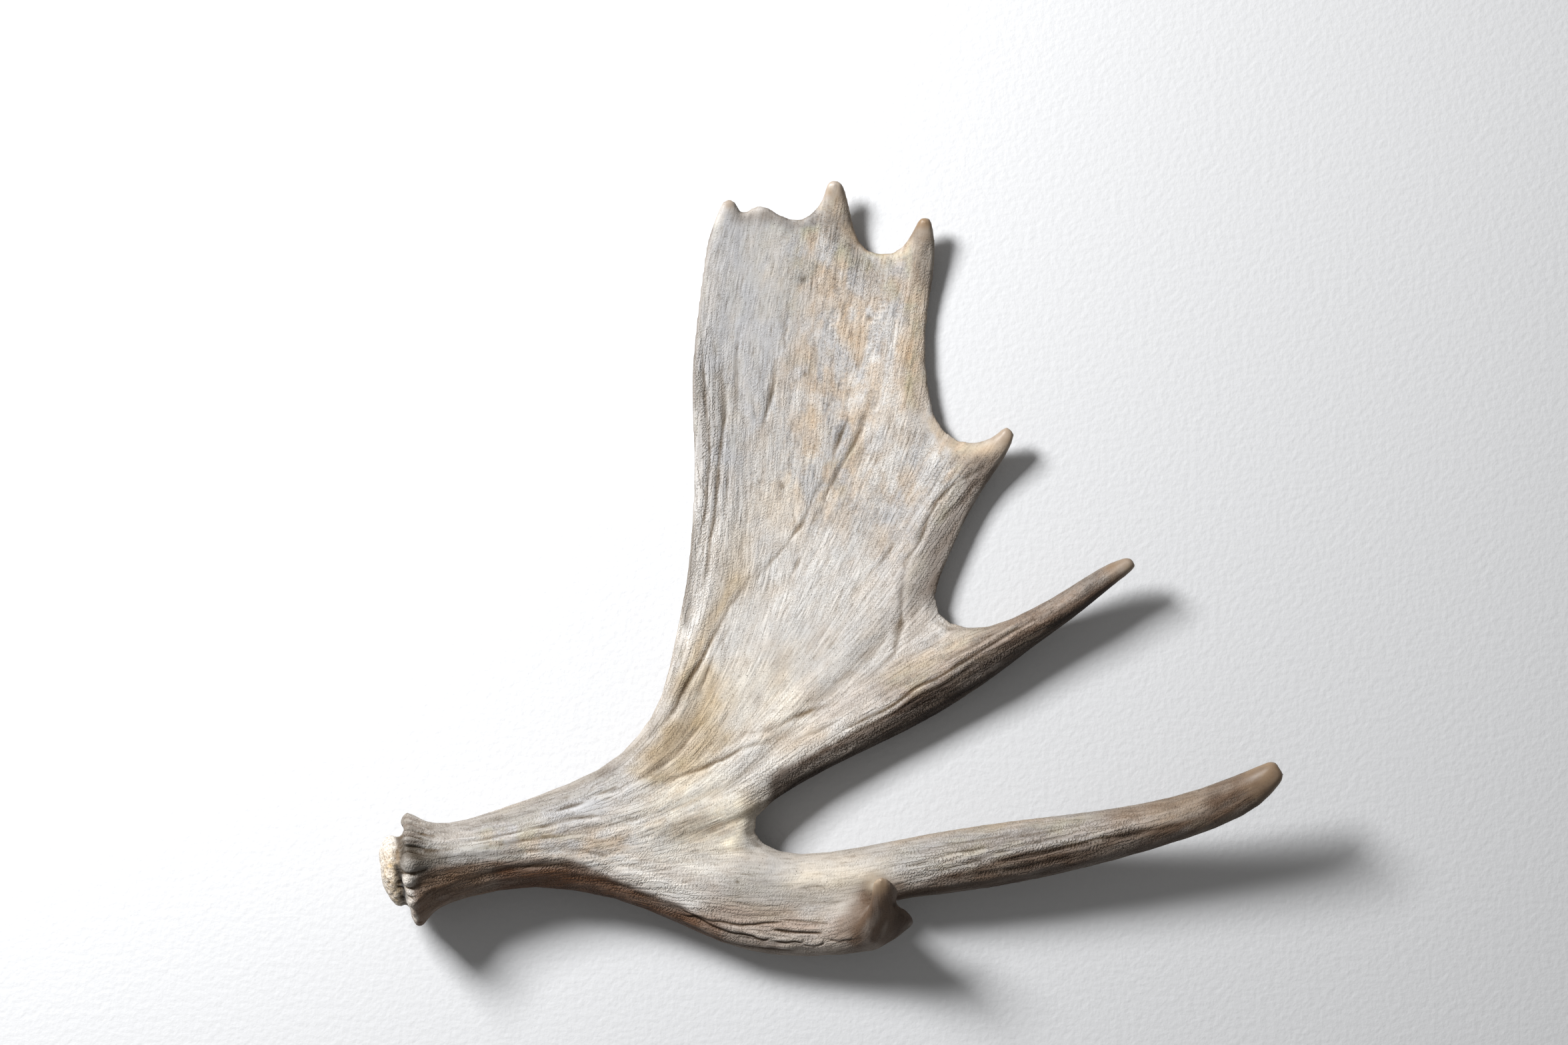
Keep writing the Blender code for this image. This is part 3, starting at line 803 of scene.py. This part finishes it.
def folded(bone):
    """The height that the folds take away and add, in millimetres, and how deep in a fold each vertex is."""
    height = np.zeros(len(bone.points))
    bed = np.zeros(len(bone.points))
    wavy = bone.places + sway(bone, FOLD_SWAY)
    uneven = 1 + FOLD_UNEVENNESS * lumps(bone, FOLD_LUMPS)
    for fold in FOLDS:
        distance, along = near_path(wavy, fold.path)
        across = distance / (fold.width * uneven)
        taper = np.sin(np.pi * np.clip(along, 0.03, 0.97)) ** 0.5
        lips = FOLD_LIPS * bell(across - FOLD_LIP_PLACE)
        height -= fold.depth * taper * (bell(across) - lips)
        bed += max(fold.depth, 0) * taper * np.exp(-2 * across**2)
    return FOLD_DEPTH * height * uneven, FOLD_DEPTH * bed * uneven


def ledged(bone):
    """The height of the overlapping crests, in millimetres, and how dark the line under each is, as dirt and
    painted shade.
    """
    height = np.zeros(len(bone.points))
    line = np.zeros(len(bone.points))
    wavy = bone.places + sway(bone, LEDGE_SWAY)
    for ledge in LEDGES:
        depth, _, along = below(wavy, ledge.line)
        taper = smooth_step(along, 0, LEDGE_TAPER) * (1 - smooth_step(along, 1 - LEDGE_TAPER, 1))
        lip = bell((depth + 0.8 * LEDGE_LIP) / LEDGE_LIP)
        bed = bell((depth - 0.8 * LEDGE_BED) / LEDGE_BED)
        height += ledge.depth * taper * (LIP_HEIGHT * lip - BED_DEPTH * bed)
        line += ledge.depth * taper * bed
    return height, line


def nicked(bone):
    """How deep the healed nicks are, in millimetres."""
    depth = np.zeros(len(bone.points))
    ragged = 1 + NICK_RAGGEDNESS * lumps(bone, NICK_LUMPS)
    for nick in NICKS:
        depth += nick.depth * bell(distances(bone.places, nick.place) / (nick.reach * ragged))
    return depth * bone.up


def polish(places):
    """1 on the polished points, 0 on the rest of the bone."""
    share = np.zeros(len(places))
    for point in POINTS:
        fade = smooth_step(distances(places, point.place), 0.35 * point.reach, 1.3 * point.reach)
        share = np.maximum(share, 1 - fade)
    return share


def burr_relief(bone):
    """The burr's pearls and the ribs that run from them into the beam, in millimetres of height."""
    rise = bone.points[:, 2] / MM - BURR_HEIGHT
    turn = np.degrees(np.arctan2(rise, bone.places[:, 1] - BURR_MIDDLE[1])) % 360
    along = bone.places[:, 0] - BURR_MIDDLE[0]
    height = np.zeros(len(bone.points))
    for pearl in PEARLS:
        off = (turn - pearl.turn + 180) % 360 - 180
        length = np.where(along < 0, bell(along / PEARL_FRONT), bell(along / pearl.rib))
        width = pearl.width * (1 - RIB_NARROWING + RIB_NARROWING * length)
        height += pearl.height * np.sqrt(np.clip(1 - (off / width) ** 2, 0, 1)) * length
    return height - BURR_BED * bell(along / BURR_RING)


def seal_relief(bone):
    """The relief of the shed base and of the bed round it, in millimetres, and where the base is."""
    lean = SEAL_LEAN * (BURR_MIDDLE[1] - bone.places[:, 1])
    on_seal = 1 - smooth_step(bone.places[:, 0] - lean, SEAL_END - SEAL_EDGE, SEAL_END)
    pores = smooth_step(lumps(bone, SEAL_PORES), 0.1, 0.6)
    rough = lumps(bone, SEAL_LUMPS) + 0.5 * lumps(bone, SEAL_SMALL_LUMPS)
    bed = on_path(bone.places, SEAL_BED, SEAL_BED_WIDTH)
    height = on_seal * (SEAL_LUMP_HEIGHT * rough - SEAL_PORE_DEPTH * pores)
    return height - SEAL_BED_DEPTH * bed, on_seal


def crest_relief(bone):
    """The wavy crests under the brow branch."""
    warp = (CREST_WARP * MM) * lumps(bone, CREST_LUMPS)
    warped = bone._replace(points=bone.points + warp[:, None])
    crest = 1 - CREST_SHARPNESS * np.abs(streaks(warped, CREST_STREAKS))
    return CREST_ZONE.value * on_path(bone.places, CREST_ZONE.path, CREST_ZONE.width) * crest


# The whole relief: its height in millimetres, and what the tones take from it
Relief = namedtuple("Relief", "height ribs coarse grooved smooth on_seal beds lines nicks")


def relief_of(bone):
    smooth = polish(bone.places)
    seal, on_seal = seal_relief(bone)
    folds, beds = folded(bone)
    ledges, lines = ledged(bone)
    nicks = nicked(bone)
    ribs = streaks(bone, RIBS)
    strands = streaks(bone, STRANDS)
    vessels = bell(streaks(bone, VESSELS) / VESSEL_WIDTH)
    zone = zoned(bone.places, COARSE, COARSE_ELSEWHERE)
    grooved = zone * (1 - smooth)
    coarse = zone * ((1 - smooth) * (1 - on_seal))
    height = coarse * (RIB_HEIGHT * ribs + STRAND_HEIGHT * strands - VESSEL_DEPTH * vessels)
    height += folds * bone.up
    height += ledges * bone.up
    height -= nicks
    height += seal + burr_relief(bone) + crest_relief(bone)
    return Relief(height, ribs, coarse, grooved, smooth, on_seal, beds, lines, nicks)


def blended(tone, colour, share):
    """The tones, drawn towards a colour by each vertex's share."""
    return tone + (colour - tone) * share[:, None]


def patched(bone, shift, drawn):
    """The listed patches on plain bone."""
    tone = np.tile(BONE, (len(bone.points), 1))
    for patch in PATCHES:
        wavy = bone.places + shift * min(PATCH_WAVES, 0.5 * patch.width)
        share = on_path(wavy, patch.path, patch.width) * patch.amount * (1 + PATCH_VARIATION * drawn)
        tone = blended(tone, patch.colour, np.clip(share * (0.6 + 0.4 * bone.up), 0, 1))
    return tone


def grained(tone, bone, coarse):
    """Dark and pale strands where the relief is coarse."""
    thin = streaks(bone, THIN_STREAKS)
    tone = blended(tone, BROWN, THIN_DARK * coarse * smooth_step(thin, 0.2, 1.3))
    return blended(tone, PALE_GREY, THIN_PALE * coarse * smooth_step(-thin, 0.3, 1.4))


def blotted(tone, bone, mottled):
    """Grey and tan clouds where the bone is mottled."""
    for blot in BLOTS:
        cloud = streaks(bone, Streaks(blot.size, BLOT_STRETCH * blot.size, blot.seed))
        share = BLOT_AMOUNT * mottled * smooth_step(cloud, 0.1, 0.5)
        tone = blended(tone, np.minimum(tone, blot.colour), share)
    return tone


def stained_and_shaded(tone, places, drawn):
    """The stains along the undersides: brown bone with painted shade."""
    x = places[:, 0]
    for darkening in UNDERSIDE_STAINS_AND_SHADE:
        depth, away, _ = below(places, darkening.line)
        share = smooth_step(depth, -darkening.edge, darkening.edge)
        share *= 1 - smooth_step(away, darkening.reach - STAIN_FADE, darkening.reach)
        ends = (darkening.line[0][0], darkening.line[-1][0])
        begun, ended = (smooth_step(x, end - STAIN_END, end + STAIN_END) for end in ends)
        share *= begun - ended
        share *= darkening.amount * (0.88 + 0.25 * drawn)
        tone = blended(tone, darkening.colour, np.clip(share, 0, 1))
    return tone


def marked(tone, bone, relief):
    """The tones of single features: the seal, the burr's worn pearls, the points, and all that is cut in,
    which is darkened with dirt and painted shade.
    """
    tone = blended(tone, SEAL, relief.on_seal)
    darkening = on_path(bone.places, SEAL_STAIN, SEAL_STAIN_WIDTH)
    darkening = relief.on_seal * darkening * (0.6 + 0.5 * lumps(bone, SEAL_STAIN_LUMPS))
    tone = blended(tone, OCHRE, np.clip(0.9 * darkening, 0, 1))
    for pearl in WHITE_PEARLS:
        near = bell(distances(bone.places, pearl.place) / pearl.reach) * bone.up
        tone = blended(tone, SEAL, 0.85 * near)
    tone = blended(tone, HORN, POINT_HORN * relief.smooth * (1 + 0.8 * lumps(bone, POINT_LUMPS)))
    # Painted shade in the nicks
    tone *= (1 - NICK_PAINTED_SHADE * np.clip(relief.nicks, 0, 1))[:, None]
    # Dirt and painted shade in the fold beds
    fold_dirt_and_shade = np.clip(FOLD_DIRT_AND_SHADE * relief.beds * bone.up, 0, 0.85)[:, None]
    tone *= 1 - fold_dirt_and_shade * (1 - SOIL_AND_SHADE / 2)
    # Dirt and painted shade in the beds under the crests
    tone = blended(tone, BROWN, np.clip(LEDGE_DIRT_AND_SHADE * relief.lines * bone.up, 0, 0.7))
    # A dark line painted as the shade in the seal's crack, which the relief does not cut
    crack_shade = on_path(bone.places, SEAL_CRACK, SEAL_CRACK_WIDTH) * bone.up
    return tone * (1 - 0.9 * crack_shade)[:, None]


def toned(bone, relief, mottled):
    """Each vertex's own tone, with its painted shade and light, before the fibres and the fine mottling."""
    shift = sway(bone, WIDE_SWAY)
    shift += sway(bone, NARROW_SWAY)
    drawn = streaks(bone, PATCH_STREAKS)
    flank_shade = smooth_step(np.hypot(bone.normals[:, 0], bone.normals[:, 1]), 0.35, 0.95)
    tone = patched(bone, shift, drawn)
    tone = grained(tone, bone, relief.coarse)
    tone = blotted(tone, bone, mottled)
    # Painted shade on the steep flanks
    tone *= 1 - FLANK_PAINTED_SHADE * flank_shade[:, None] * (1 - SOIL_AND_SHADE)
    tone = stained_and_shaded(tone, bone.places + shift, drawn)
    return marked(tone, bone, relief)


def sculpt(surface):
    """Puts the relief on the smooth form, and stores on its vertices what the material needs."""
    bone = bone_of(surface)
    relief = relief_of(bone)
    mottled = zoned(bone.places, MOTTLED, MOTTLED_ELSEWHERE)
    surface.keep("tone", toned(bone, relief, mottled))
    surface.keep("mottle", mottled * (1 - relief.on_seal))
    surface.keep("polish", relief.smooth)
    surface.keep("seal", relief.on_seal)
    surface.keep("ribs", relief.ribs)
    surface.keep("grooved", relief.grooved)
    surface.keep("flow", bone.flow)
    surface.points += bone.normals * (relief.height * MM)[:, None]
    surface.points[:, 2] = np.maximum(surface.points[:, 2], 0)
    surface.keep("hollow", surface.hollows(surface.normals(), HOLLOW_ROUNDS))


def thinned(surface):
    """The finished piece, with no more triangles than it may have."""
    skin = new_object(PIECE, surface.mesh)
    thin = skin.modifiers.new("thin", "DECIMATE")
    thin.ratio = TRIANGLES / (2 * len(skin.data.polygons))
    mesh = applied(skin)
    mesh.name = PIECE
    mesh.shade_smooth()
    return new_object(PIECE, mesh)


class Graph:
    """A new material and its nodes, made one by one."""

    def __init__(self, name):
        self.material = bpy.data.materials.new(name)
        self.material.use_nodes = True
        self.nodes = self.material.node_tree.nodes
        self.links = self.material.node_tree.links

    def feed(self, node, inputs):
        """Links an input if it is given a socket, and sets it if it is given a value."""
        for name, value in inputs.items():
            if isinstance(value, bpy.types.NodeSocket):
                self.links.new(value, node.inputs[name])
            else:
                node.inputs[name].default_value = value

    def node(self, kind, inputs, **settings):
        made = self.nodes.new("ShaderNode" + kind)
        for name, value in settings.items():
            setattr(made, name, value)
        self.feed(made, inputs)
        return made

    def shaded(self, inputs):
        """The material, with these inputs on its shader."""
        self.feed(self.nodes["Principled BSDF"], inputs)
        return self.material

    def place(self):
        return self.node("TexCoord", {}).outputs["Object"]

    def kept(self, name, output="Fac"):
        """The values that were stored on the vertices under this name."""
        return self.node("Attribute", {}, attribute_name=name).outputs[output]

    def math(self, operation, a, b=0.0):
        return self.node("Math", {0: a, 1: b}, operation=operation).outputs[0]

    def add(self, a, b):
        return self.math("ADD", a, b)

    def subtract(self, a, b):
        return self.math("SUBTRACT", a, b)

    def times(self, a, b):
        return self.math("MULTIPLY", a, b)

    def vector(self, operation, a, b):
        name = "Scale" if operation == "SCALE" else 1
        return self.node("VectorMath", {0: a, name: b}, operation=operation).outputs[0]

    def noise(self, place, size, detail=0.0):
        inputs = {"Vector": place, "Scale": 1 / (size * MM), "Detail": detail}
        return self.node("TexNoise", inputs).outputs["Fac"]

    def ramp(self, value, low, high, to_low=0.0, to_high=1.0):
        inputs = {"Value": value, "From Min": low, "From Max": high, "To Min": to_low, "To Max": to_high}
        return self.node("MapRange", inputs).outputs[0]

    def mix(self, share, a, b, blend="MIX"):
        inputs = {0: share, 6: a, 7: b}
        return self.node("Mix", inputs, data_type="RGBA", blend_type=blend).outputs[2]

    def bump(self, height, strength, depth):
        inputs = {"Height": height, "Strength": strength, "Distance": depth}
        return self.node("Bump", inputs).outputs[0]

    def fibres(self, place, flow, size, taps, detail=0.0):
        """Noise drawn out along the growth lines, from about 0 to 1."""
        total = 0.0
        for tap in range(-taps, taps + 1):
            step = self.vector("SCALE", flow, tap * size * FIBRE_STEP * MM)
            total = self.add(total, self.noise(self.vector("ADD", place, step), size, detail))
        count = 2 * taps + 1
        spread = 0.3 / count**0.5
        return self.ramp(total, count * (0.5 - spread), count * (0.5 + spread))


def rgba(values):
    return (*(float(v) for v in values), 1.0)


# The bone's fine detail, as sockets of its material
Detail = namedtuple("Detail", "strands hairs blotches patchy veins pores flecks")


def bone_detail(graph, place, flow):
    """The fibres, veins and pores, each from about 0 to 1."""
    veins = graph.fibres(place, flow, VEIN_SIZE, 3, 1.5)
    veins = graph.ramp(graph.math("ABSOLUTE", graph.subtract(veins, 0.5)), 0.0, 0.14, 1.0, 0.0)
    dots = graph.node("TexVoronoi", {"Vector": place, "Scale": 1 / (PORE_SPACING * MM)})
    pores = graph.ramp(dots.outputs["Distance"], 0.10, 0.16, 0.75, 0.0)
    flecks = graph.ramp(graph.noise(place, FLECK_SIZE, 4.0), 0.48, 0.66, 0.0, 0.55)
    return Detail(
        strands=graph.fibres(place, flow, STRAND_SIZE, 3, 2.5),
        hairs=graph.fibres(place, flow, HAIR_SIZE, 3, 2.0),
        blotches=graph.fibres(place, flow, BLOTCH_SIZE, 1, 4.0),
        patchy=graph.ramp(graph.noise(place, PATCHY_SIZE, 2.0), 0.38, 0.62, 0.4, 1.0),
        veins=graph.times(veins, graph.kept("grooved")),
        pores=graph.times(pores, graph.ramp(dots.outputs["Color"], 0.55, 0.6)),
        flecks=graph.times(flecks, graph.kept("seal")),
    )


def mottling(graph, place, flow, tone):
    """The vertices' own tone with its warm and cool mottling."""
    mottle = graph.kept("mottle")
    warm = graph.fibres(graph.vector("ADD", place, WARM_SHIFT), flow, WARM_SIZE, 1, 4.0)
    warm = graph.times(graph.ramp(warm, 0.5, 0.75, 0.0, 0.45), mottle)
    cool = graph.fibres(place, flow, COOL_SIZE, 1, 4.0)
    cool = graph.times(graph.ramp(cool, 0.52, 0.72, 0.0, 0.7), mottle)
    shade = graph.mix(warm, tone, rgba(WARM_STAIN), "MULTIPLY")
    return graph.mix(cool, shade, rgba(COOL_STAIN), "MULTIPLY")


def bone_colour(graph, place, flow, detail):
    """Mottled bone with dirt and painted shade in the hollows, dirt in the pores and between the fibres, and
    pale worn crests.
    """
    tone = graph.kept("tone", "Color")
    hollow = graph.kept("hollow")
    lines = graph.subtract(graph.add(detail.strands, detail.hairs), 1.0)
    lines = graph.add(graph.times(lines, detail.patchy), 1.0)
    grain = graph.add(graph.times(lines, 0.33), graph.times(detail.blotches, 0.34))
    specks = graph.ramp(graph.noise(place, SPECK_SIZE, 2.0), 0.58, 0.68, 0.0, 0.55)
    shade = mottling(graph, place, flow, tone)
    for darkening in (
        graph.ramp(grain, 0.45, 0.1),
        graph.times(detail.veins, 0.7),
        detail.flecks,
        graph.times(graph.ramp(graph.kept("ribs"), -1.5, 0.5, 0.4, 0.0), graph.kept("grooved")),
        # Dirt and painted shade in the hollows
        graph.ramp(hollow, 0.02, 0.4),
        graph.times(specks, graph.kept("mottle")),
    ):
        shade = graph.mix(darkening, shade, rgba(SOIL_AND_SHADE), "MULTIPLY")
    shade = graph.mix(detail.pores, shade, rgba(DARK_BROWN))
    worn = graph.add(graph.ramp(grain, 0.4, 0.8, 0.84, 1.1), graph.ramp(hollow, 0.0, -0.6, 0.0, 0.08))
    shade = graph.vector("SCALE", shade, worn)
    return graph.mix(graph.times(graph.kept("polish"), 0.7), shade, tone)


def bone_bump(graph, detail):
    """The finest relief: fibres, pores and hair veins, weaker on the polished points."""
    rough = graph.times(graph.subtract(1.0, graph.kept("polish")), graph.add(graph.kept("grooved"), 0.5))
    height = graph.add(graph.times(detail.strands, 0.9), graph.times(detail.hairs, 0.3))
    height = graph.add(graph.times(height, detail.patchy), graph.times(detail.blotches, 0.35))
    height = graph.subtract(height, graph.times(detail.pores, 0.4))
    height = graph.subtract(height, graph.add(detail.veins, detail.flecks))
    return graph.bump(graph.times(height, rough), 0.9, BONE_BUMP)


def antler_bone():
    """Weathered antler bone: matt, with a soft gloss on the polished points."""
    graph = Graph("antler_bone")
    place = graph.place()
    flow = graph.kept("flow", "Vector")
    detail = bone_detail(graph, place, flow)
    return graph.shaded({
        "Base Color": bone_colour(graph, place, flow, detail),
        "Normal": bone_bump(graph, detail),
        "Roughness": graph.ramp(graph.kept("polish"), 0, 1, BONE_ROUGHNESS, POINT_ROUGHNESS),
        "Specular IOR Level": 0.22,
    })


def pale_floor():
    """A matt pale floor with a faint stipple."""
    graph = Graph("pale_floor")
    stipple = graph.noise(graph.place(), STIPPLE_SIZE, 3.0)
    return graph.shaded({
        "Base Color": rgba(FLOOR),
        "Normal": graph.bump(stipple, 0.35, STIPPLE_DEPTH),
        "Roughness": 0.85,
        "Specular IOR Level": 0.2,
    })


def add_floor():
    floor = new_object("floor", bpy.data.meshes.new("floor"))
    corners = [(x * FLOOR_REACH, y * FLOOR_REACH, 0) for x, y in ((-1, -1), (1, -1), (1, 1), (-1, 1))]
    floor.data.from_pydata(corners, [], [(0, 1, 2, 3)])
    floor.data.materials.append(pale_floor())


def add_camera():
    camera = new_object("camera", bpy.data.cameras.new("camera"))
    camera.data.lens = LENS
    camera.data.sensor_width = SENSOR
    camera.location = EYE
    bpy.context.scene.camera = camera


def add_light():
    """One soft lamp at the upper left, and a weak warm sky."""
    light = new_object("key", bpy.data.lights.new("key", "AREA"))
    light.data.size = LAMP_SIZE
    light.data.energy = LAMP_POWER
    light.location = LAMP_PLACE
    light.rotation_euler = (-Vector(LAMP_PLACE)).to_track_quat("-Z", "Y").to_euler()
    world = bpy.data.worlds.new("studio")
    bpy.context.scene.world = world
    world.use_nodes = True
    sky = world.node_tree.nodes["Background"].inputs
    sky["Color"].default_value = SKY
    sky["Strength"].default_value = SKY_STRENGTH
    bpy.context.scene.view_settings.view_transform = "Standard"


def main():
    for old in list(bpy.data.objects):
        bpy.data.objects.remove(old)
    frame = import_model()
    bpy.context.view_layer.update()
    nodes = frame["nodes"]

    surface = whole_form(nodes.values())
    sculpt(surface)
    skin = thinned(surface)
    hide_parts(*nodes)
    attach(skin, "root")
    add_floor()
    skin.data.materials.clear()
    skin.data.materials.append(antler_bone())
    add_camera()
    add_light()

    bpy.context.view_layer.update()


main()
